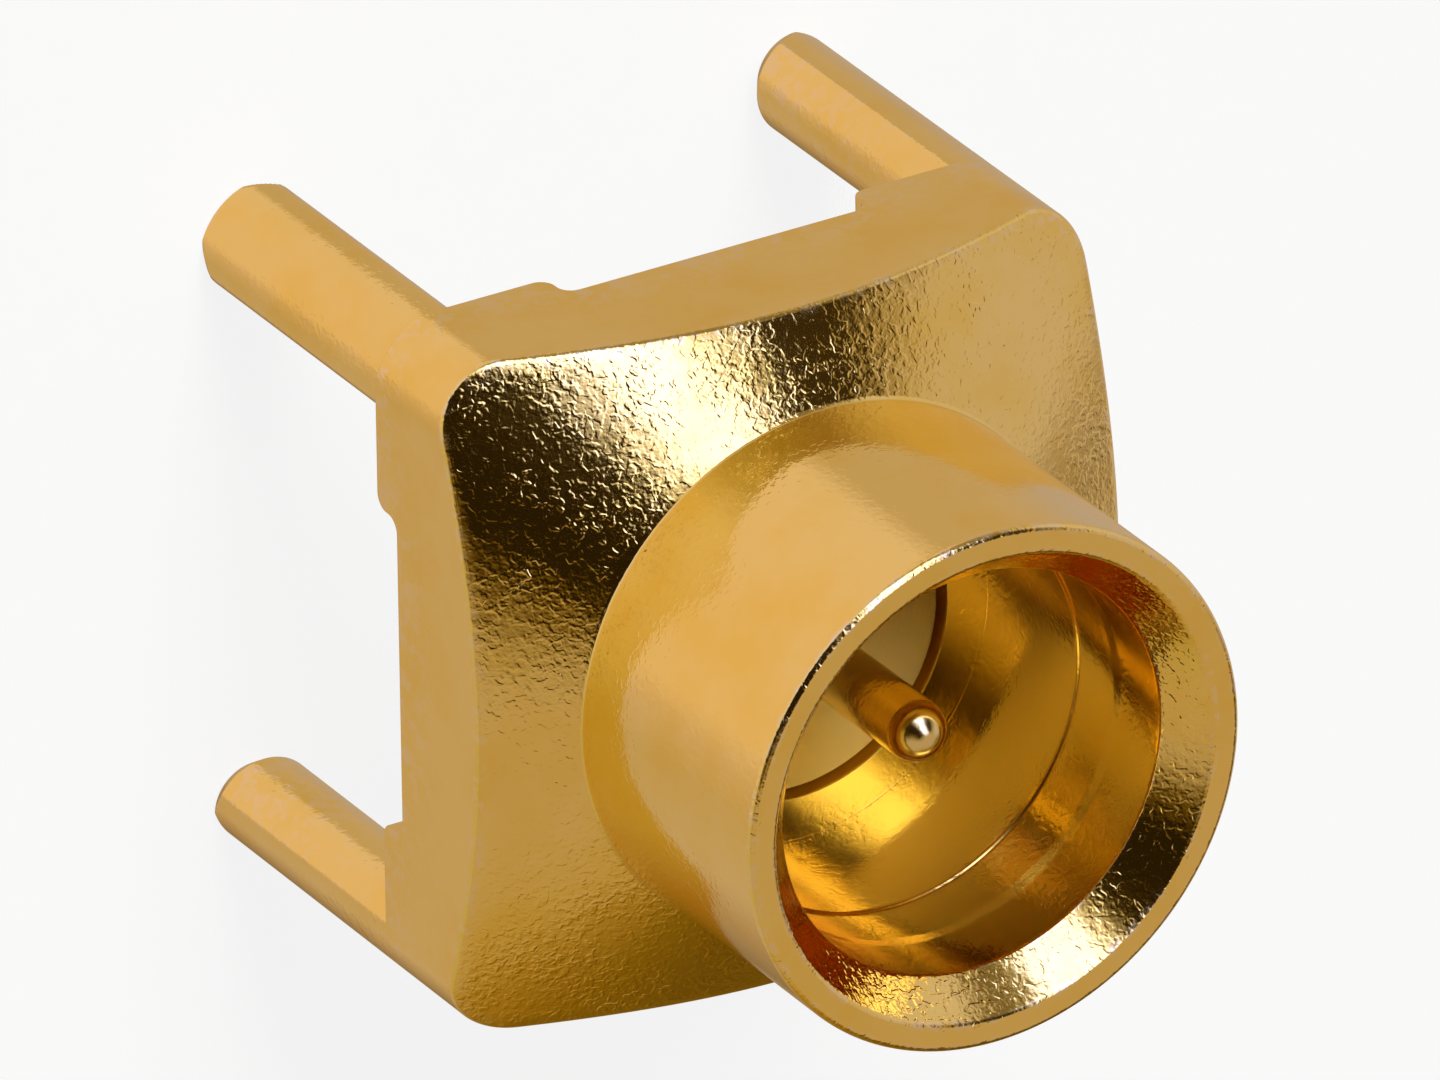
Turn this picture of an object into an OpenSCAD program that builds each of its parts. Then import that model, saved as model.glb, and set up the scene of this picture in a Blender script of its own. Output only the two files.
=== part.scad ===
// Coaxial antenna connector for a circuit board: a square, gold-plated brass shell
// with four corner legs, a round shroud with a snap-in socket, a white bead and a
// centre contact. Millimetres. The board's face is z = 0 and the socket opens to +Z.

/* [Flange] */
// Width across the square body
body_w = 5.87; // [5.75:0.01:6.6]
// Radius of the body's four upright corners
corner_r = 0.59; // [0.3:0.01:0.9]
// Height at which the conical front meets the barrel
front_h = 1.86; // [1.75:0.01:2.4]
// Slope of the conical front, degrees below level
front_slope = 28.4; // [20:0.1:32]
// Height of the corner pads that stand on the board
pad_h = 0.29; // [0.15:0.01:0.4]
// Width of the two channels that cross between the pads
channel_w = 2.76; // [2.6:0.01:3.4]
// Rounding of the channels' edges and corners
channel_r = 0.13; // [0.05:0.01:0.2]

/* [Barrel] */
// Outside diameter of the barrel
barrel_d = 4.45; // [4.3:0.01:5]
// Height of the rim above the board
rim_h = 4.4; // [4.2:0.01:5.5]
// Rounding of the rim's outer edge
rim_edge_r = 0.06; // [0.02:0.01:0.12]
// Radius of the hollow fillet at the barrel's root
root_r = 0.06; // [0.03:0.01:0.3]

/* [Socket] */
// Diameter of the lead-in cone at the rim
mouth_d = 3.99; // [3.8:0.01:4.1]
// Depth of the lead-in cone
lead_in = 0.36; // [0.2:0.01:0.5]
// Diameter of the front land that holds the plug
land_d = 3.43; // [3.3:0.01:3.5]
// Length of the front land
land_l = 0.58; // [0.3:0.01:0.7]
// Depth of the shallow snap groove behind the land
groove_depth = 0.01; // [0.01:0.01:0.08]
// Length of the snap groove with its ramp
groove_l = 0.62; // [0.4:0.01:0.8]
// Length of the groove's front ramp
ramp_l = 0.13; // [0.05:0.01:0.2]
// Step inwards from the groove to the throat behind it
throat_step = 0.02; // [0.01:0.01:0.08]
// How much wider the throat is at its floor, on each side
throat_relief = 0.03; // [0.01:0.01:0.05]
// Height of the socket's flat floor above the board
floor_h = 1.44; // [1.4:0.01:1.7]

/* [Insulator] */
// Diameter of the bead and of its seat
bead_d = 2.74; // [2.6:0.01:3]
// Height of the bead's face above the board
bead_face_h = 1.36; // [1.2:0.01:1.6]
// Gap between the bead's reduced nose and the shell
nose_gap = 0.05; // [0.03:0.01:0.12]
// Length of the bead's reduced nose
nose_l = 0.26; // [0.1:0.01:0.4]
// Diameter of the opening in the lip that stops the bead
lip_d = 2.4; // [2.2:0.01:2.5]
// Thickness of that lip
lip_t = 0.3; // [0.2:0.01:0.4]

/* [Contact] */
// Diameter of the centre pin and of its ball end
pin_d = 0.51; // [0.4:0.01:0.6]
// Height of the pin's tip above the board
tip_h = 3.43; // [2.6:0.01:3.6]
// Diameter of the contact's thick section, pressed through the bead
core_d = 1.14; // [1.1:0.01:1.6]
// Diameter of the solder tail
tail_d = 0.82; // [0.7:0.01:1]
// Length of the solder tail below the board's face
tail_l = 2.71; // [2:0.01:3.5]
// Bevel at the end of the solder tail
tail_bevel = 0.12; // [0.05:0.01:0.25]

/* [Legs] */
// Distance between the legs' centres, both ways
leg_pitch = 5.08; // [4.9:0.01:5.3]
// Diameter of the legs before the body's sides trim them
leg_d = 0.93; // [0.8:0.01:1.1]
// Length of the legs below the board's face
leg_l = 2.71; // [2:0.01:3.5]
// Bevel round the end of a leg, inwards
leg_bevel = 0.1; // [0.03:0.01:0.2]
// Bevel round the end of a leg, along it
leg_bevel_l = 0.16; // [0.05:0.01:0.3]

/* [Hidden] */
$fn = 96;
// straight steps in each small arc of a turned profile
arc_steps = 6;
// overlap of joined shapes, and how far a cut runs past what it cuts
eps = 0.01;
cut = 1;
barrel_r = barrel_d / 2;
// centre height of the fillet that touches the barrel and the conical front
root_h = front_h + root_r * (1 - sin(front_slope)) / cos(front_slope);
// the front runs out past the square's corners before the column trims it
front_r = body_w / sqrt(2);
front_edge_h = front_h - (front_r - barrel_r) * tan(front_slope);
land_top = rim_h - lead_in;
land_end = land_top - land_l;
groove_end = land_end - groove_l;
land_r = land_d / 2;
groove_r = land_r + groove_depth;
throat_r = groove_r - throat_step;
bead_seat = pad_h + lip_t;
bead_top = bead_face_h - nose_l;
edge_r = min(channel_r, pad_h / 2 - eps);
ball_h = tip_h - pin_d / 2;

// outline of the square body seen from above
module outline() {
    square([body_w, body_w - 2 * corner_r], center = true);
    square([body_w - 2 * corner_r, body_w], center = true);
    for (x = [-1, 1], y = [-1, 1])
        translate([x, y] * (body_w / 2 - corner_r)) circle(corner_r);
}

// points of an arc about [x, z], from angle a to angle b
function arc(x, z, r, a, b) = [
    for (i = [0:arc_steps]) let (t = a + (b - a) * i / arc_steps) [x + r * cos(t), z + r * sin(t)]
];

// half profile of the turned outside: conical front, hollow fillet, barrel and rim edge
module turned_profile() {
    polygon(concat(
        [[0, 0], [front_r, 0], [front_r, front_edge_h]],
        arc(barrel_r + root_r, root_h, root_r, 270 - front_slope, 180),
        arc(barrel_r - rim_edge_r, rim_h - rim_edge_r, rim_edge_r, 0, 90),
        [[0, rim_h]]
    ));
}

// the stepped hole that runs through the shell, from the back to the mouth
module socket() {
    rotate_extrude() polygon([
        [0, -cut],
        [lip_d / 2, -cut],
        [lip_d / 2, bead_seat],
        [bead_d / 2, bead_seat],
        [bead_d / 2, floor_h],
        [throat_r + throat_relief, floor_h],
        [throat_r, groove_end - throat_step],
        [groove_r, groove_end],
        [groove_r, land_end - ramp_l],
        [land_r, land_end],
        [land_r, land_top],
        [mouth_d / 2, rim_h],
        [mouth_d / 2, rim_h + cut],
        [0, rim_h + cut]
    ]);
}

// cross-section of a channel: rounded inside corners and rounded pad edges
module channel_profile() {
    translate([-channel_w / 2, -cut]) square([channel_w, cut + pad_h - edge_r]);
    translate([edge_r - channel_w / 2, -cut]) square([channel_w - 2 * edge_r, cut + pad_h]);
    for (s = [0, 1]) mirror([s, 0]) {
        translate([channel_w / 2 - edge_r, pad_h - edge_r]) circle(edge_r);
        difference() {
            translate([channel_w / 2 - eps, -cut]) square([edge_r + eps, cut + edge_r]);
            translate([channel_w / 2 + edge_r, edge_r]) circle(edge_r);
        }
    }
}

module channel() {
    rotate([90, 0, 0]) linear_extrude(body_w + cut, center = true) channel_profile();
}

// one round leg with a bevelled end, running up into the pad above it
module leg() {
    rotate_extrude() polygon([
        [0, -leg_l],
        [leg_d / 2 - leg_bevel, -leg_l],
        [leg_d / 2, leg_bevel_l - leg_l],
        [leg_d / 2, pad_h],
        [0, pad_h]
    ]);
}

module body() {
    color("#d8ab55") {
        difference() {
            intersection() {
                rotate_extrude() turned_profile();
                linear_extrude(rim_h) outline();
            }
            socket();
            channel();
            rotate([0, 0, 90]) channel();
        }
        intersection() {
            for (x = [-1, 1], y = [-1, 1])
                translate([x * leg_pitch / 2, y * leg_pitch / 2, 0]) leg();
            translate([0, 0, -leg_l]) linear_extrude(leg_l + pad_h) outline();
        }
    }
}

module insulator() {
    color("#efe9da") rotate_extrude() polygon([
        [core_d / 2, pad_h],
        [lip_d / 2, pad_h],
        [lip_d / 2, bead_seat],
        [bead_d / 2, bead_seat],
        [bead_d / 2, bead_top],
        [bead_d / 2 - nose_gap, bead_top],
        [bead_d / 2 - nose_gap, bead_face_h],
        [core_d / 2, bead_face_h]
    ]);
}

module center_contact() {
    color("#e2b75e") rotate_extrude() {
        // solder tail, thick section and pin
        polygon([
            [0, -tail_l],
            [tail_d / 2 - tail_bevel, -tail_l],
            [tail_d / 2, tail_bevel - tail_l],
            [tail_d / 2, pad_h],
            [core_d / 2, pad_h],
            [core_d / 2, bead_face_h],
            [pin_d / 2, bead_face_h],
            [pin_d / 2, ball_h],
            [0, ball_h]
        ]);
        // ball end
        translate([0, ball_h]) intersection() {
            circle(pin_d / 2);
            square(cut);
        }
    }
}

body();
insulator();
center_contact();
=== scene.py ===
"""Looks of the gold-plated coaxial antenna connector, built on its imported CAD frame.

The shell, the bead and the contact are drawn again from the frame's box and the sizes
below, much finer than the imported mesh, because a mirror finish shows every facet. Sizes
are millimetres until a mesh is made, and +Z runs along the axis towards the mouth.
"""

import math

import bmesh
import bpy
import numpy as np
from mathutils import Matrix, Vector


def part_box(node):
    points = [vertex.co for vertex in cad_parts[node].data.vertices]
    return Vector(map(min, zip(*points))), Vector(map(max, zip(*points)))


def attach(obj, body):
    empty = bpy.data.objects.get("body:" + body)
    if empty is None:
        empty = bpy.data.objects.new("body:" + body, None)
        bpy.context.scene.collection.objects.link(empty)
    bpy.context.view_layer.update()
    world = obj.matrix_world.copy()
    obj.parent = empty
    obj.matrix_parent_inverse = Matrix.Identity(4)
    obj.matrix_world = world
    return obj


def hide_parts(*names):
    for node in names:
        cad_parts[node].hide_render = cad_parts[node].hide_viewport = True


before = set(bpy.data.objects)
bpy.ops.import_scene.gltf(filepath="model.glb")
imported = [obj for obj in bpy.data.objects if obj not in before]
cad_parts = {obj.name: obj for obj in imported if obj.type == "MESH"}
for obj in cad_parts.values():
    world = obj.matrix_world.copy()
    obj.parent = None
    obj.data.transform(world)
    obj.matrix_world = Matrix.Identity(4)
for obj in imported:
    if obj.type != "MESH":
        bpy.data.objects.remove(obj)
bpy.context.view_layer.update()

MM = 0.001
TURN = 2 * math.pi
HAIR = 1e-6  # anything shorter counts as nothing
TINY = 1e-9  # keeps a division from meeting zero

# ---- sizes read off the frame ------------------------------------------------------------
BODY_LOW, BODY_HIGH = (np.array(corner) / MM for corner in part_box("body"))
BEAD_LOW, BEAD_HIGH = (np.array(corner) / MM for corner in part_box("insulator"))
HALF = BODY_HIGH[0]  # half the width of the square body
RIM = BODY_HIGH[2]  # height of the rim
TIP = BODY_LOW[2]  # height of the legs' ends
PAD = BEAD_LOW[2]  # height of the corner pads, and of the bead's back
FACE = BEAD_HIGH[2]  # height of the bead's face
PIN_TOP = [corner[2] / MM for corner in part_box("center_contact")][1]

# ---- sizes of the shell ------------------------------------------------------------------
CORNER_R = 0.59
FRONT_H = 1.86  # where the conical front meets the barrel
FRONT_SLOPE = math.radians(28.4)
FRONT_EDGE_R = 0.07  # rounding between the conical front and the sides
BARREL_R = 2.225
ROOT_R = 0.06
RIM_EDGE_R = 0.06
CRISP_R = 0.018  # the barely broken edges inside the socket
SHARP_R = 0.002  # the sharp edges down in the bead's seat
LAND_EDGE_R, MOUTH_EDGE_R = 0.015, 0.03  # either end of the lead-in cone
CHANNEL_W = 2.76
CHANNEL_R = 0.13
CHANNEL_LEAN = 1e-4  # of the wall, so that each distance across it has one height
SOCKET = (  # radius and height of each corner, from the back up to the mouth
    (1.2, PAD),
    (1.2, PAD + 0.3),
    (1.37, PAD + 0.3),
    (1.37, 1.44),
    (1.735, 1.44),
    (1.705, 2.82),
    (1.725, 2.84),
    (1.725, 3.33),
    (1.715, 3.46),
    (1.715, RIM - 0.36),
    (1.995, RIM),
)
LEG_PITCH = 5.08
LEG_R = 0.465
LEG_BEVEL, LEG_BEVEL_L = 0.1, 0.16

# ---- sizes of the bead and the contact ---------------------------------------------------
BEAD_R, BEAD_NOSE_R, BEAD_NOSE_L = 1.37, 1.32, 0.26
BEAD_EDGE_R = 0.02
CORE_R = 0.57
PIN_R = 0.255
TAIL_R, TAIL_BEVEL = 0.41, 0.12

# ---- how fine the meshes are -------------------------------------------------------------
SIDE_POINTS, CORNER_POINTS = 40, 13  # in an eighth of the square outline
FRONT_ROWS, ROUNDING_ROWS, FLOOR_ROWS = 14, 7, 4
SIDE_ROWS = (0.03, 0.5, 0.97)  # shares of the way down a side
LEG_COLUMNS, LEG_BEVEL_ROWS, LEG_RING_GAP = 96, 9, 0.01
TURNED_COLUMNS, BALL_STEPS = 160, 20
CUT_SHARE = 0.24  # the most of a straight stretch that one softened corner takes
MERGE_WITHIN, DROP_BELOW = 2e-8, 1e-9  # metres

# ---- where each finish goes --------------------------------------------------------------
FINISH_SHARES = ("cone", "bore", "edge")  # the attributes that a finish follows
CONE_LEAST, CONE_MOST = (0.4, 0.55), (0.97, 0.92)  # how upright a cone's normal stands
BORE_SIDE = (0.06, 0.04)  # the bore's finish fades out this far beyond its land's radius,
BORE_TOP, BORE_FOOT = 0.01, 0.02  # and over these heights at its two ends
EDGE_BEND = (6, 12)  # turn of an edge's normals, in radians per millimetre


# ---- shapes ------------------------------------------------------------------------------
def arc(center, radius, start, end, steps=8):
    """Points of an arc in a plane: center + radius * (cos a, sin a), with a from start to end."""
    a = np.linspace(start, end, steps + 1)[:, None]
    return np.array(center) + radius * np.hstack([np.cos(a), np.sin(a)])


def softened(corners, radius, steps=4):
    """A polyline with each inner corner cut short by the same radius, or by one of its own.

    The cut starts a little before the corner and ends a little after it, and between the
    two it follows a quadratic curve, (1-t)^2 a + 2t(1-t) corner + t^2 b.
    """
    corners = np.array(corners, float)
    t = np.linspace(0, 1, steps + 1)[:, None]
    line = [corners[:1]]
    radii = np.broadcast_to(radius, len(corners) - 2)
    for before, corner, after, cut in zip(corners, corners[1:], corners[2:], radii):
        behind, ahead = before - corner, after - corner
        a = corner + behind * min(cut / np.hypot(*behind), CUT_SHARE)
        b = corner + ahead * min(cut / np.hypot(*ahead), CUT_SHARE)
        line.append((1 - t) ** 2 * a + 2 * t * (1 - t) * corner + t**2 * b)
    return steadied(np.vstack(line + [corners[-1:]]))


def steadied(points, reach=0.02):
    """A polyline with a point added close to either end of each long straight stretch, which
    keeps the stretch flat to the eye when it is shaded smooth."""
    line = [points[:1]]
    for a, b in zip(points, points[1:]):
        way = (b - a) * reach / max(np.hypot(*(b - a)), TINY)
        if np.hypot(*(b - a)) > 4 * reach:
            line += [[a + way], [b - way]]
        line.append([b])
    return np.vstack(line)


def grid_faces(rows, columns, row_wrap, column_wrap, first):
    """The four corners of every cell of a grid of points, numbered row by row from first."""
    i = np.arange(rows - (not row_wrap))
    j = np.arange(columns - (not column_wrap))
    i, j = (a.ravel() for a in np.meshgrid(i, j, indexing="ij"))
    i1, j1 = (i + 1) % rows, (j + 1) % columns
    corners = [i * columns + j, i * columns + j1, i1 * columns + j1, i1 * columns + j]
    return first + np.stack(corners, 1)


def smooth_step(value, low, high):
    """0 at low and 1 at high, with level ends: t * t * (3 - 2 t)."""
    t = np.clip((value - low) / (high - low), 0, 1)
    return t * t * (3 - 2 * t)


def mark_finish(mesh):
    """Stores where each finish goes, as three shares from 0 to 1 for every point.

    cone: on faces that lean as the lead-in and the conical front do, by the normal's height.
    bore: inside the socket up to the top of its land, by radius and height.
    edge: on outer edges, where the surface turns outwards more tightly than about a 0.1 mm
    radius: the normals' change along each mesh edge over its length, the most at a point.
    """
    place, facing = np.empty((2, len(mesh.vertices) * 3))
    mesh.vertices.foreach_get("co", place)
    mesh.vertex_normals.foreach_get("vector", facing)
    place, facing = place.reshape(-1, 3) / MM, facing.reshape(-1, 3)
    radius, height = np.hypot(place[:, 0], place[:, 1]), place[:, 2]
    lean = np.abs(facing[:, 2])
    cone = smooth_step(lean, *CONE_LEAST) * smooth_step(lean, *CONE_MOST)
    land_r, land_z = SOCKET[-2]
    bore = smooth_step(radius, *(land_r + beyond for beyond in BORE_SIDE))
    top = smooth_step(height, land_z + BORE_TOP, land_z - BORE_TOP)
    bore *= top * smooth_step(height, PAD, PAD + BORE_FOOT)
    ends = np.empty(len(mesh.edges) * 2, np.int32)
    mesh.edges.foreach_get("vertices", ends)
    a, b = ends.reshape(-1, 2).T
    way = place[b] - place[a]
    bend = ((facing[b] - facing[a]) * way).sum(1) / (way * way).sum(1)
    tightest = np.zeros(len(place))
    np.maximum.at(tightest, a, bend)
    np.maximum.at(tightest, b, bend)
    edge = smooth_step(tightest, *EDGE_BEND) * (1 - bore)
    for name, share in zip(FINISH_SHARES, (cone, bore, edge)):
        mesh.attributes.new(name, "FLOAT", "POINT").data.foreach_set("value", share)


def make_piece(name, surfaces, node, material, sharp=35):
    """One mesh from several grids of points in millimetres, riding on the part's body.

    A surface is (points, row_wrap, column_wrap) with points[row, column] = (x, y, z).
    Points that fall together are merged, which closes seams and poles, and the faces are
    turned outwards. Edges that turn by more than `sharp` degrees stay crisp.
    """
    points, faces, first = [], [], 0
    for grid, row_wrap, column_wrap in surfaces:
        rows, columns = grid.shape[:2]
        points.append(grid.reshape(-1, 3) * MM)
        faces.append(grid_faces(rows, columns, row_wrap, column_wrap, first))
        first += rows * columns
    mesh = bpy.data.meshes.new(name)
    mesh.from_pydata(np.vstack(points), [], np.vstack(faces))
    shape = bmesh.new()
    shape.from_mesh(mesh)
    bmesh.ops.remove_doubles(shape, verts=shape.verts, dist=MERGE_WITHIN)
    bmesh.ops.dissolve_degenerate(shape, edges=shape.edges, dist=DROP_BELOW)
    bmesh.ops.recalc_face_normals(shape, faces=shape.faces)
    shape.to_mesh(mesh)
    shape.free()
    mark_finish(mesh)
    mesh.shade_smooth()
    mesh.set_sharp_from_angle(angle=math.radians(sharp))
    piece = bpy.data.objects.new(name, mesh)
    bpy.context.scene.collection.objects.link(piece)
    mesh.materials.append(material)
    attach(piece, "root")
    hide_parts(node)
    return piece


def revolved(profile):
    """A profile of (radius, height) turned about the axis: (r cos a, r sin a, z)."""
    a = np.arange(TURNED_COLUMNS) / TURNED_COLUMNS * TURN
    r, z = np.array(profile).T[:, :, None]
    return np.stack([r * np.cos(a), r * np.sin(a), z + 0 * a], -1)


def square_outline():
    """Points and outward normals round the body's rounded square, seen from above.

    One eighth runs up the side x = HALF, evenly by angle, with extra points where the
    channel's rounded edges cross it, and then round half a corner. It is mirrored over the
    diagonal and turned four times.
    """
    straight = HALF - CORNER_R
    by_angle = HALF * np.tan(np.linspace(0, math.atan2(straight, HALF), SIDE_POINTS))
    y = np.unique(np.round(np.append(by_angle, channel_profile()[:, 0]), 6))
    side = np.stack([np.full(len(y), HALF), y], 1)
    bend = np.linspace(0, TURN / 8, CORNER_POINTS)[1:]
    turn = np.stack([np.cos(bend), np.sin(bend)], 1)
    points = np.vstack([side, straight + CORNER_R * turn])
    normals = np.vstack([np.tile([1.0, 0.0], (len(y), 1)), turn])
    points, normals = (np.vstack([a, a[-2:0:-1, ::-1]]) for a in (points, normals))
    quarter = np.array([[0, 1], [-1, 0]])
    turned = [np.linalg.matrix_power(quarter, k) for k in range(4)]
    return tuple(np.vstack([a @ t for t in turned]) for a in (points, normals))


def channel_profile():
    """(distance from the middle line, height) across a channel's wall, from the pad's flat
    foot over its rounded edge, up the wall and round the corner to the channel's floor."""
    wall = CHANNEL_W / 2
    foot = arc((wall + CHANNEL_R, CHANNEL_R), CHANNEL_R, -TURN / 4, -TURN / 2)
    head = arc((wall - CHANNEL_R - CHANNEL_LEAN, PAD - CHANNEL_R), CHANNEL_R, 0, TURN / 4)
    return np.vstack([foot, head])


def lift(plane, height):
    """Points (x, y) given a height each."""
    return np.concatenate([plane, np.broadcast_to(height, plane.shape[:-1])[..., None]], -1)


def shell():
    """The shell as one closed grid: a column for each point of the square outline.

    Each column runs up the socket, over the rim, down the barrel and the conical front,
    round the edge, down the side, and back under the pads and channels to the lip. The
    turned stretch is r * (cos a, sin a); the front blends outwards to the outline at the
    height FRONT_H - (r - BARREL_R) tan(slope); underneath, a point at the fraction t of the
    way out has the channel's height at the smaller of |x| and |y|.
    """
    outer, normal = square_outline()
    ray = outer / np.linalg.norm(outer, axis=1, keepdims=True)

    def front(plane):
        return FRONT_H - (np.linalg.norm(plane, axis=-1) - BARREL_R) * math.tan(FRONT_SLOPE)

    rim_edge = arc((BARREL_R - RIM_EDGE_R, RIM - RIM_EDGE_R), RIM_EDGE_R, TURN / 4, 0)
    root_h = FRONT_H + ROOT_R * (1 - math.sin(FRONT_SLOPE)) / math.cos(FRONT_SLOPE)
    root = arc((BARREL_R + ROOT_R, root_h), ROOT_R, TURN / 2, TURN * 3 / 4 - FRONT_SLOPE)
    broken = [SHARP_R] * 4 + [CRISP_R] * 4 + [LAND_EDGE_R, MOUTH_EDGE_R]
    inside = softened([*SOCKET, (BARREL_R - RIM_EDGE_R, RIM)], broken)
    r, z = steadied(np.vstack([inside[:-1], rim_edge, root])).T[:, :, None]
    turned = lift(r[..., None] * ray, z)

    # the rounding keeps one radius and is drawn square to the outline
    tilt = np.linspace(TURN / 4 - FRONT_SLOPE, 0, ROUNDING_ROWS)[:, None]
    shoulder = outer - normal * FRONT_EDGE_R * (1 - math.cos(tilt[0, 0]))
    rounding = outer - normal * FRONT_EDGE_R * (1 - np.cos(tilt))[..., None]
    top = front(shoulder) - FRONT_EDGE_R * (math.sin(tilt[0, 0]) - np.sin(tilt))
    out = np.linspace(0, 1, FRONT_ROWS)[1:-1, None, None]
    slope = r[-1, 0] * ray * (1 - out) + shoulder * out
    brow = np.vstack([lift(slope, front(slope)), lift(rounding, top)])

    across, height = channel_profile().T
    reach = np.abs(outer).min(1)
    order = np.argsort(across)

    def under(limit):
        t = np.minimum(limit, reach)
        plane = outer * (t / np.maximum(reach, TINY))[:, None]
        return lift(plane, np.interp(t, across[order], height[order]))

    bottom = np.stack([under(limit) for limit in [HALF, *across]])
    middle = reach < HAIR  # the columns on the channels' middle lines
    bottom[:, middle] = lift(outer[middle], PAD)
    down = np.array(SIDE_ROWS)[:, None, None]
    side = brow[-1] * (1 - down) + bottom[0] * down
    lip = lift(SOCKET[0][0] * ray, PAD)
    inward = np.linspace(0, 1, FLOOR_ROWS)[1:-1, None, None]
    floor_of_channels = bottom[-1] * (1 - inward) + lip * inward
    return np.vstack([turned, brow, side, bottom, floor_of_channels]), True, True


def leg(sx, sy):
    """One round leg, trimmed flush with the body's sides and its rounded corner.

    At the angle a its wall stands at the smallest of the leg's own radius, the way to
    either side, and the way to the corner's arc, -b + sqrt(b^2 - c). The end is bevelled,
    and a ring just above the bevel keeps the wall flat to the eye.
    """
    a = np.arange(LEG_COLUMNS) / LEG_COLUMNS * TURN
    way = np.stack([np.cos(a), np.sin(a)], 1)
    center = LEG_PITCH / 2
    with np.errstate(divide="ignore"):
        trim = np.where(way > HAIR, (HALF - center) / way, np.inf).min(1)
    corner = center - (HALF - CORNER_R)
    b = corner * way.sum(1)
    to_arc = -b + np.sqrt(b * b - 2 * corner**2 + CORNER_R**2)
    trim = np.minimum(trim, np.where((to_arc[:, None] * way > -corner).all(1), to_arc, np.inf))
    bevel_top = TIP + LEG_BEVEL_L
    bevel_z = np.linspace(bevel_top, TIP, LEG_BEVEL_ROWS)
    bevel_r = LEG_R - LEG_BEVEL * np.linspace(0, 1, LEG_BEVEL_ROWS)
    z = np.append([0, 0, bevel_top + LEG_RING_GAP], bevel_z)
    r = np.append([0, LEG_R, LEG_R], bevel_r)
    z, r = np.append(z, TIP)[:, None], np.append(r, 0)[:, None]
    wall = np.minimum(r, trim)
    plane = center + wall[..., None] * way
    return lift(plane * [sx, sy], z), False, True


def bead_profile():
    """The bead's closed section: a thick ring with a reduced nose and a reduced back."""
    lip_r, lip_top = SOCKET[1]
    shoulder = FACE - BEAD_NOSE_L
    start = (CORE_R, (PAD + FACE) / 2)
    back = [(CORE_R, PAD), (lip_r, PAD), (lip_r, lip_top), (BEAD_R, lip_top)]
    nose = [(BEAD_R, shoulder), (BEAD_NOSE_R, shoulder), (BEAD_NOSE_R, FACE), (CORE_R, FACE)]
    return softened([start, *back, *nose, start], BEAD_EDGE_R)


def contact_profile():
    """The contact's half section: bevelled tail, thick section, pin and round end."""
    end = arc((0, PIN_TOP - PIN_R), PIN_R, 0, TURN / 4, BALL_STEPS)
    tail = [(0, TIP), (TAIL_R - TAIL_BEVEL, TIP), (TAIL_R, TIP + TAIL_BEVEL), (TAIL_R, PAD)]
    core = [(CORE_R, PAD), (CORE_R, FACE), (PIN_R, FACE)]
    return steadied(np.vstack([softened([*tail, *core, end[0]], CRISP_R), end[1:]]))


# ---- materials ---------------------------------------------------------------------------
PLATED, RICH, RUBBED = "#F9DC7B", "#F7D565", "#F7DE97"
WAVE_PERIOD = 0.314  # of the wave texture at scale 1


def linear(hex_color):
    """An sRGB hex colour as linear red, green, blue and a full alpha."""
    c = np.array([int(hex_color[i : i + 2], 16) for i in (1, 3, 5)]) / 255
    return (*np.where(c <= 0.04045, c / 12.92, ((c + 0.055) / 1.055) ** 2.4), 1.0)


def add(tree, kind, inputs=None, **settings):
    """Adds one node. An input gets a value, or a link from a socket or a node's first output.

    A Mix node's input 0 is the share, 2 and 3 are two numbers, and 6 and 7 two colours.
    """
    node = tree.nodes.new("ShaderNode" + kind)
    for key, value in settings.items():
        setattr(node, key, value)
    for key, value in (inputs or {}).items():
        value = value.outputs[0] if isinstance(value, bpy.types.Node) else value
        if isinstance(value, bpy.types.NodeSocket):
            tree.links.new(value, node.inputs[key])
        else:
            node.inputs[key].default_value = value
    return node


def empty_material(name):
    """A material without nodes, and its node tree."""
    material = bpy.data.materials.new(name)
    material.use_nodes = True
    material.node_tree.nodes.clear()
    return material, material.node_tree


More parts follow.
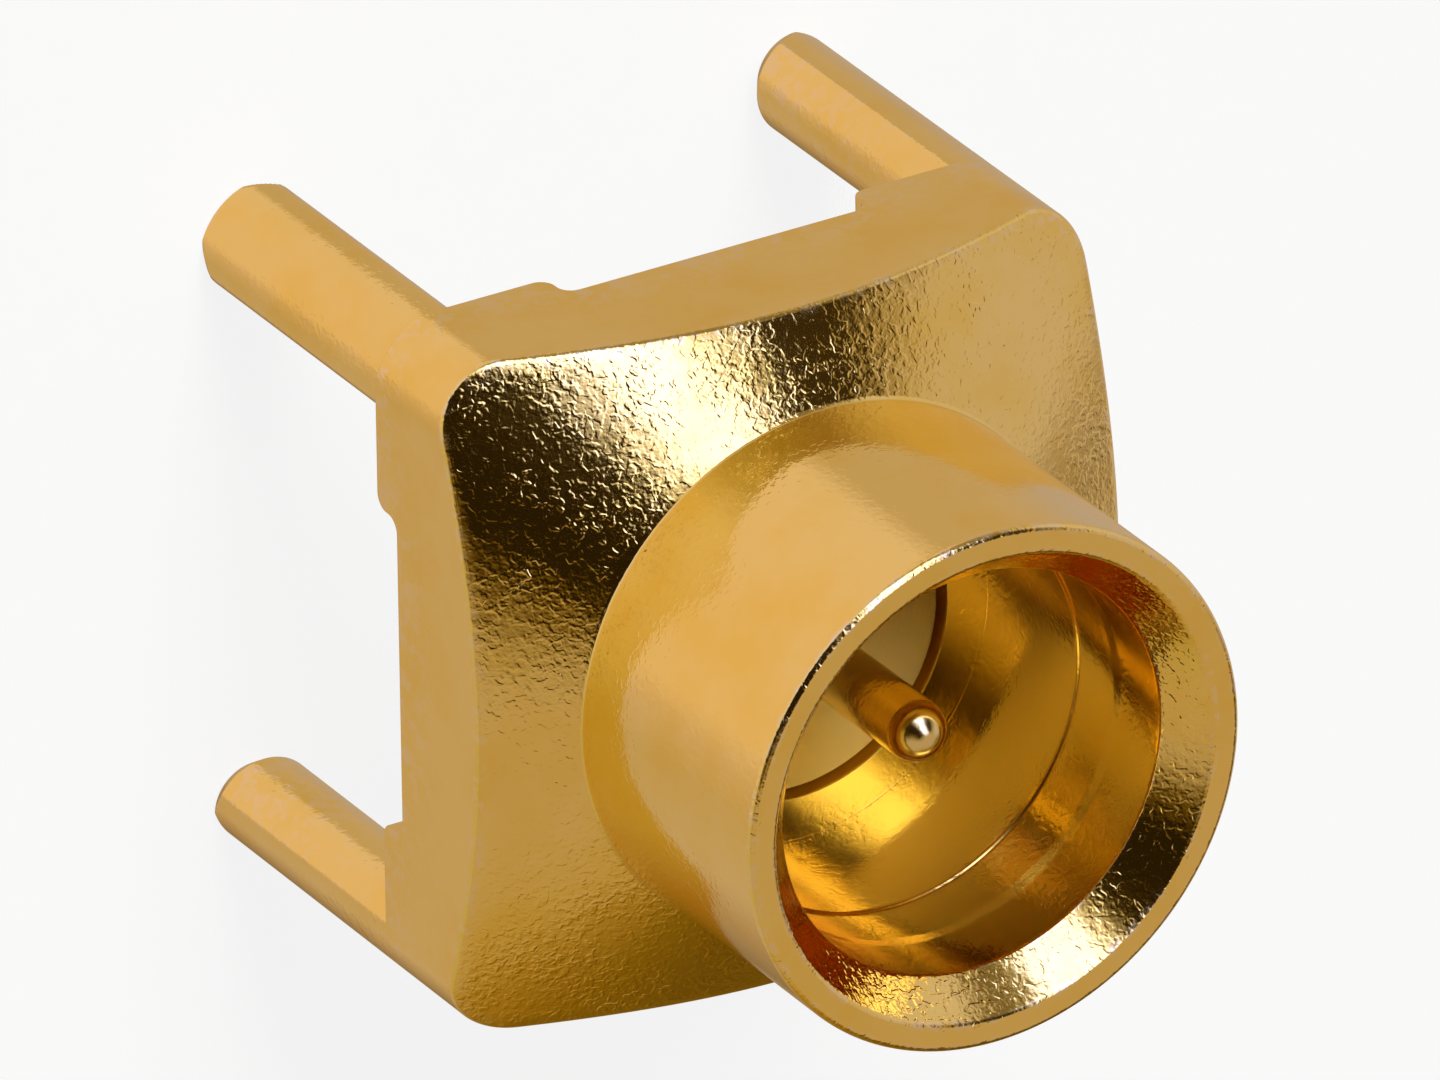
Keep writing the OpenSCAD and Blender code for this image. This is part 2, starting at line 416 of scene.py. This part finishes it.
def gold_plating(
    name, bore_tint, open_um, cone_um, bore_um, edge_um, roughness, bore_roughness
):
    """Gold electroplated over turned brass, tumbled before it was plated.

    Tumbling leaves grains about 0.07 mm across with short steep flanks on a calmer ground,
    so the edge of each reflection breaks up into specks. Each _um is the relief's depth in
    micrometres: on the open faces, on the two cones, which a wide form tool left coarser, in
    the smooth bore, and along the worn edges. Slow clouds change the tint and the dullness.
    """
    material, tree = empty_material(name)
    place = add(tree, "TexCoord").outputs["Object"]
    mm = add(tree, "VectorMath", {0: place, "Scale": 1 / MM}, operation="SCALE")
    cone, bore, edge = (
        add(tree, "Attribute", attribute_name=share).outputs["Fac"] for share in FINISH_SHARES
    )
    # each noise has lumps of a size in millimetres, a detail and a distortion
    lumps = (
        (0.07, 1.0, 0.35),
        (0.05, 1.5, 0.0),
        (0.5, 2.0, 0.0),
        (0.8, 3.0, 0.0),
        (0.12, 2.0, 0.5),
    )
    grain, ground, patch, cloud, rub = (
        add(
            tree,
            "TexNoise",
            {
                "Vector": mm,
                "Scale": 1 / size,
                "Detail": detail,
                "Roughness": 0.6,
                "Distortion": distortion,
            },
        )
        for size, detail, distortion in lumps
    )
    grain = add(
        tree, "MapRange", {"Value": grain, "From Min": 0.48, "From Max": 0.63, "To Max": 0.55}
    )
    patch = add(
        tree,
        "MapRange",
        {"Value": patch, "From Min": 0.35, "From Max": 0.65, "To Min": 0.45, "To Max": 1.3},
    )
    height = add(tree, "Math", {0: ground, 1: 0.85, 2: grain}, operation="MULTIPLY_ADD")
    height = add(tree, "Math", {0: height, 1: patch}, operation="MULTIPLY")
    depth = open_um
    for share, deeper in ((cone, cone_um), (bore, bore_um), (edge, edge_um)):
        depth = add(tree, "Mix", {0: share, 2: depth, 3: deeper})
    height = add(tree, "Math", {0: height, 1: depth}, operation="MULTIPLY")
    relief = add(tree, "Bump", {"Height": height, "Distance": MM * MM})

    cloudy = add(tree, "MapRange", {"Value": cloud, "From Min": 0.42, "From Max": 0.68})
    rubbed = add(tree, "MapRange", {"Value": rub, "From Min": 0.48, "From Max": 0.62})
    worn = add(tree, "Math", {0: rubbed, 1: edge}, operation="MULTIPLY")
    # the gold is thicker and redder in places, thinner over the brass in the bore, and rubbed
    # pale and dull in spots along the edges
    tint = linear(PLATED)
    for share, other in ((cloudy, RICH), (bore, bore_tint), (worn, RUBBED)):
        mixed = add(tree, "Mix", {0: share, 6: tint, 7: linear(other)}, data_type="RGBA")
        tint = mixed.outputs[2]
    dull = add(tree, "Mix", {0: bore, 2: roughness, 3: bore_roughness})
    clouds = add(
        tree,
        "MapRange",
        {"Value": cloud, "From Min": 0.3, "From Max": 0.7, "To Min": 0.75, "To Max": 1.3},
    )
    dull = add(tree, "Math", {0: dull, 1: clouds}, operation="MULTIPLY")
    dull = add(tree, "Math", {0: worn, 1: 0.1, 2: dull}, operation="MULTIPLY_ADD")
    finish = {"Base Color": tint, "Metallic": 1.0, "Roughness": dull, "Normal": relief}
    gold = add(tree, "BsdfPrincipled", finish)
    add(tree, "OutputMaterial", {"Surface": gold})
    return material


def turned_ptfe():
    """PTFE turned from rod: a waxy, slightly see-through white with very fine lathe rings."""
    material, tree = empty_material("turned_white_ptfe")
    place = add(tree, "TexCoord").outputs["Object"]
    mm = add(tree, "VectorMath", {0: place, "Scale": 1 / MM}, operation="SCALE")
    # a ring every 0.05 mm, the tool's feed
    rings = add(
        tree,
        "TexWave",
        {"Vector": mm, "Scale": WAVE_PERIOD / 0.05, "Distortion": 0.4, "Detail": 1.0},
        wave_type="RINGS",
        rings_direction="Z",
    )
    rings = add(tree, "Bump", {"Height": rings.outputs["Fac"], "Distance": 0.6 * MM * MM})
    haze = add(tree, "TexNoise", {"Vector": mm, "Scale": 1 / 0.6, "Detail": 2.0})
    tint = add(
        tree, "Mix", {0: haze, 6: linear("#F0E5CA"), 7: linear("#F6EFDA")}, data_type="RGBA"
    )
    dull = add(
        tree,
        "MapRange",
        {"Value": haze, "From Min": 0.3, "From Max": 0.7, "To Min": 0.38, "To Max": 0.48},
    )
    finish = {
        "Base Color": tint.outputs[2],
        "Roughness": dull,
        "IOR": 1.36,
        "Normal": rings,
        "Subsurface Weight": 0.25,
        "Subsurface Radius": (0.6, 0.5, 0.4),
        "Subsurface Scale": 0.3 * MM,
    }
    add(tree, "OutputMaterial", {"Surface": add(tree, "BsdfPrincipled", finish)})
    return material


SHELL_GOLD = gold_plating(
    "gold_plated_turned_brass",
    "#F5D463",
    open_um=1.0,
    cone_um=3.2,
    bore_um=0.9,
    edge_um=2.6,
    roughness=0.08,
    bore_roughness=0.15,
)
PIN_GOLD = gold_plating(
    "gold_plated_contact",
    "#EFDA8C",
    open_um=0.4,
    cone_um=0.7,
    bore_um=0.7,
    edge_um=0.9,
    roughness=0.09,
    bore_roughness=0.13,
)
PTFE = turned_ptfe()

# ---- pieces ------------------------------------------------------------------------------
legs = [leg(sx, sy) for sx in (-1, 1) for sy in (-1, 1)]
make_piece("plated_shell", [shell(), *legs], "body", SHELL_GOLD)
bead = (revolved(bead_profile()), False, True)
make_piece("white_bead", [bead], "insulator", PTFE)
contact = (revolved(contact_profile()), False, True)
make_piece("plated_contact", [contact], "center_contact", PIN_GOLD)

# ---- camera ------------------------------------------------------------------------------
# The photograph is a telephoto view, turned about the line of sight.
AZIMUTH, ELEVATION, ROLL = (math.radians(a) for a in (224.8, 49.83, 126.75))
CAMERA_LENS, SENSOR_W, CAMERA_DISTANCE = 835.5, 36, 262.06
AIM_RIGHT, AIM_UP = 0.1347, 0.2392  # of the picture's centre from the origin
CLIP_START, CLIP_END = 0.01, 2  # metres

to_camera = Vector(
    (
        math.sin(AZIMUTH) * math.cos(ELEVATION),
        -math.cos(AZIMUTH) * math.cos(ELEVATION),
        math.sin(ELEVATION),
    )
)
level = Vector((math.cos(AZIMUTH), math.sin(AZIMUTH), 0))
upright = to_camera.cross(level)
right = level * math.cos(ROLL) + upright * math.sin(ROLL)
up = to_camera.cross(right)
camera = bpy.data.objects.new("camera", bpy.data.cameras.new("camera"))
bpy.context.scene.collection.objects.link(camera)
camera.data.lens, camera.data.sensor_width = CAMERA_LENS, SENSOR_W
camera.data.clip_start, camera.data.clip_end = CLIP_START, CLIP_END
spot = (to_camera * CAMERA_DISTANCE + right * AIM_RIGHT + up * AIM_UP) * MM
turned_to = Matrix((right, up, to_camera)).transposed().to_4x4()
camera.matrix_world = Matrix.Translation(spot) @ turned_to
bpy.context.scene.camera = camera

# ---- floor -------------------------------------------------------------------------------
FLOOR_R, FLOOR_CORNERS = 300, 64
PAPER_GLOW = 0.88
FIBRE = 0.3  # size of the paper's mottling


def paper_sweep():
    """Smooth white paper. To the camera it glows a little, as a backlit sweep does, so its
    shadows stay faint. Its own colour is cool, and the warm light turns it white."""
    material, tree = empty_material("white_paper_sweep")
    path = add(tree, "LightPath")
    place = add(tree, "TexCoord").outputs["Object"]
    fibre = add(tree, "TexNoise", {"Vector": place, "Scale": 1 / (FIBRE * MM)})
    tint = add(
        tree, "Mix", {0: fibre, 6: linear("#5B6593"), 7: linear("#5F6997")}, data_type="RGBA"
    )
    paper = add(tree, "BsdfDiffuse", {"Color": tint.outputs[2]})
    bright = add(tree, "Emission", {"Color": linear("#FFFFFF"), "Strength": PAPER_GLOW})
    dark = add(tree, "Emission", {"Strength": 0.0})
    seen = add(tree, "MixShader", {0: path.outputs["Is Camera Ray"], 1: dark, 2: bright})
    add(tree, "OutputMaterial", {"Surface": add(tree, "AddShader", {0: paper, 1: seen})})
    return material


turns = np.linspace(0, TURN, FLOOR_CORNERS + 1)[:-1]
disc = np.stack([np.cos(turns), np.sin(turns), 0 * turns], 1) * FLOOR_R * MM + [0, 0, TIP * MM]
floor_mesh = bpy.data.meshes.new("floor")
floor_mesh.from_pydata(disc, [], [list(range(len(disc)))])
floor_mesh.materials.append(paper_sweep())
floor = bpy.data.objects.new("floor", floor_mesh)
bpy.context.scene.collection.objects.link(floor)
floor.visible_glossy = False  # a mirror shows the tent's own lower half instead

# ---- studio ------------------------------------------------------------------------------
BRIGHTEST = 4.6  # the ramps hold nothing brighter than 1, so they are divided by this
FAN_AXIS = (0.328, -0.413, 0.850)
MATT_LIGHT = (0.62, 0.49, 0.21)
SOFTBOX_GAIN, ROOM_GAIN = 6.8, 0.15  # how strongly each lights matt things
BLACK, CARD, SHADE = (0.02, 0.012, 0.004), (0.04, 0.025, 0.01), (0.2, 0.15, 0.1)
GLOW, FRINGE = (1.85, 1.95, 4.6), (0.95, 0.92, 1.5)
PALE, CLOTH, WARM = (0.7, 0.6, 0.78), (0.6, 0.5, 0.6), (0.53, 0.4, 0.33)
AMBER, DUSK, BROWN, UMBER = (
    (0.47, 0.33, 0.18), (0.36, 0.22, 0.05), (0.22, 0.13, 0.01), (0.12, 0.07, 0.01)
)  # fmt: skip
MISTY, LIT, SHEET = (0.5, 0.42, 0.4), (0.81, 0.61, 0.61), (0.57, 0.44, 0.39)
# light at each angle in degrees, fitted to the photograph as studio() says: high round the
# fan's axis stand the thin card, the softbox and the gap for the camera
HIGH = (
    (-180, UMBER), (-150, UMBER), (-125, CLOTH), (-90, CLOTH), (-78, (0.36, 0.27, 0.18)),
    (-68, CARD), (-50, CARD), (-42, FRINGE), (-35, GLOW), (-21, GLOW), (-15, FRINGE),
    (-8, CARD), (5, BLACK), (17, BLACK), (24, UMBER), (37, (0.4, 0.3, 0.2)), (50, WARM),
    (90, WARM), (107, (0.5, 0.36, 0.19)), (120, DUSK), (132, BROWN), (150, UMBER), (180, UMBER),
)  # fmt: skip
# lower down the same panels stand a little apart
MIDDLE = (
    (-180, UMBER), (-150, BROWN), (-120, PALE), (-79, PALE), (-73, (0.45, 0.38, 0.4)),
    (-67, SHADE), (-60, SHADE), (-53, (0.45, 0.4, 0.4)), (-45, GLOW), (-24, GLOW),
    (-18, FRINGE), (-12, (0.3, 0.25, 0.25)), (-6, CARD), (8, BLACK), (28, BLACK), (40, UMBER),
    (47, (0.32, 0.24, 0.17)), (56, (0.48, 0.37, 0.31)), (69, WARM), (84, WARM), (100, AMBER),
    (126, DUSK), (139, BROWN), (180, UMBER),
)  # fmt: skip
# just under the horizon the light comes back from the table
HORIZON = (
    (-180, (0.66, 0.6, 0.6)), (-168, (0.57, 0.49, 0.35)), (-125, (0.53, 0.44, 0.27)),
    (-100, DUSK), (-80, BROWN), (-55, UMBER), (-35, MISTY), (-15, CLOTH),
    (40, (0.65, 0.57, 0.6)), (55, MISTY), (66, (0.32, 0.24, 0.2)), (84, (0.36, 0.3, 0.2)),
    (100, (0.5, 0.45, 0.4)), (118, (0.79, 0.74, 1.15)), (145, (0.79, 0.74, 1.3)),
    (165, (0.75, 0.68, 0.9)), (180, (0.66, 0.6, 0.6)),
)  # fmt: skip
TABLE = (
    (-180, LIT), (-168, (0.66, 0.5, 0.52)), (-150, SHEET), (-115, SHEET),
    (-92, (0.44, 0.31, 0.2)), (-65, (0.28, 0.18, 0.08)), (-45, (0.45, 0.33, 0.2)),
    (-30, (0.53, 0.39, 0.25)), (-5, (0.51, 0.42, 0.42)), (25, SHEET), (66, SHEET),
    (76, (0.78, 0.62, 0.68)), (115, LIT), (160, LIT), (180, LIT),
)  # fmt: skip
CEILING = tuple(c / BRIGHTEST for c in (0.53, 0.4, 0.32)) + (1.0,)


def studio():
    """The light tent round the connector, as a colour for each direction.

    Its upper part is a fan of upright panels about one axis: pale cloth, a thin black
    card, a bright softbox, and the wide dark gap in which the camera stands. Its lower
    part, the lit table, only changes with the compass direction. Both were fitted to the
    photograph: many stops follow the light that its colours call for at that angle, which is
    a colour seen on the gold divided by the gold's own. Matt things are lit by one warm
    white of the same brightness, and by the full strength of the softbox's lower half,
    which the mirror shows as plain white.
    """
    world = bpy.data.worlds.new("studio")
    world.cycles.sampling_method = "NONE"  # so matt things see the colours meant for them
    bpy.context.scene.world = world
    world.use_nodes = True
    tree = world.node_tree
    tree.nodes.clear()
    axis = Vector(FAN_AXIS).normalized()
    ahead = (to_camera - axis * to_camera.dot(axis)).normalized()
    way = add(tree, "TexCoord").outputs["Generated"]
    lean, side, front, east, north, rise = (
        add(tree, "VectorMath", {0: way, 1: line}, operation="DOT_PRODUCT").outputs["Value"]
        for line in (axis, axis.cross(ahead), ahead, (1, 0, 0), (0, 1, 0), (0, 0, 1))
    )
    fan, compass = (
        add(tree, "Math", {0: y, 1: x}, operation="ARCTAN2")
        for y, x in ((side, front), (north, east))
    )
    ramps = []
    for angle, stops in ((fan, HIGH), (fan, MIDDLE), (compass, HORIZON), (compass, TABLE)):
        turned = add(tree, "Math", {0: angle, 1: 1 / TURN, 2: 0.5}, operation="MULTIPLY_ADD")
        ramp = add(tree, "ValToRGB", {"Fac": turned})
        marks = ramp.color_ramp.elements
        while len(marks) < len(stops):
            marks.new(0.5)
        for mark, (degrees, _) in zip(marks, stops):
            mark.position = degrees / 360 + 0.5
        for mark, (_, light) in zip(marks, stops):
            mark.color = tuple(c / BRIGHTEST for c in light) + (1.0,)
        ramps.append(ramp)
    high, tent, horizon, table = ramps
    # each light takes over from the one before between two heights, by the fan or by the level
    for height, start, full, other in (
        (lean, 0.2, 0.58, high),
        (rise, 0.25, 0.0, horizon),
        (rise, -0.2, -0.5, table),
        (lean, 0.82, 0.95, CEILING),
    ):
        share = add(
            tree,
            "MapRange",
            {"Value": height, "From Min": start, "From Max": full},
            interpolation_type="SMOOTHSTEP",
        )
        tent = add(tree, "Mix", {0: share, 6: tent, 7: other}, data_type="RGBA").outputs[2]

    # the softbox is where the tent is bright, and its lower half lights the matt things
    strength = add(tree, "RGBToBW", {"Color": tent})
    bright, low = (
        add(
            tree,
            "MapRange",
            {"Value": value, "From Min": start, "From Max": full},
            interpolation_type="SMOOTHSTEP",
        )
        for value, start, full in ((strength, 0.2, 0.4), (lean, 0.7, 0.45))
    )
    softbox = add(tree, "Math", {0: bright, 1: low}, operation="MULTIPLY")
    gain = add(
        tree, "Math", {0: softbox, 1: SOFTBOX_GAIN, 2: ROOM_GAIN}, operation="MULTIPLY_ADD"
    )
    strength = add(tree, "Math", {0: strength, 1: gain}, operation="MULTIPLY")
    white = add(tree, "VectorMath", {0: MATT_LIGHT, "Scale": strength}, operation="SCALE")
    path = add(tree, "LightPath")
    matt = path.outputs["Diffuse Depth"]
    tent = add(tree, "Mix", {0: matt, 6: tent, 7: white}, data_type="RGBA")
    light = add(tree, "Background", {"Color": tent.outputs[2], "Strength": BRIGHTEST})
    plain = add(tree, "Background", {"Color": linear("#FAFAFA")})
    seen = add(tree, "MixShader", {0: path.outputs["Is Camera Ray"], 1: light, 2: plain})
    add(tree, "OutputWorld", {"Surface": seen})


studio()
scene = bpy.context.scene
scene.view_settings.view_transform = "Standard"
scene.cycles.max_bounces = 16
scene.cycles.glossy_bounces = 12  # light inside the socket goes back and forth
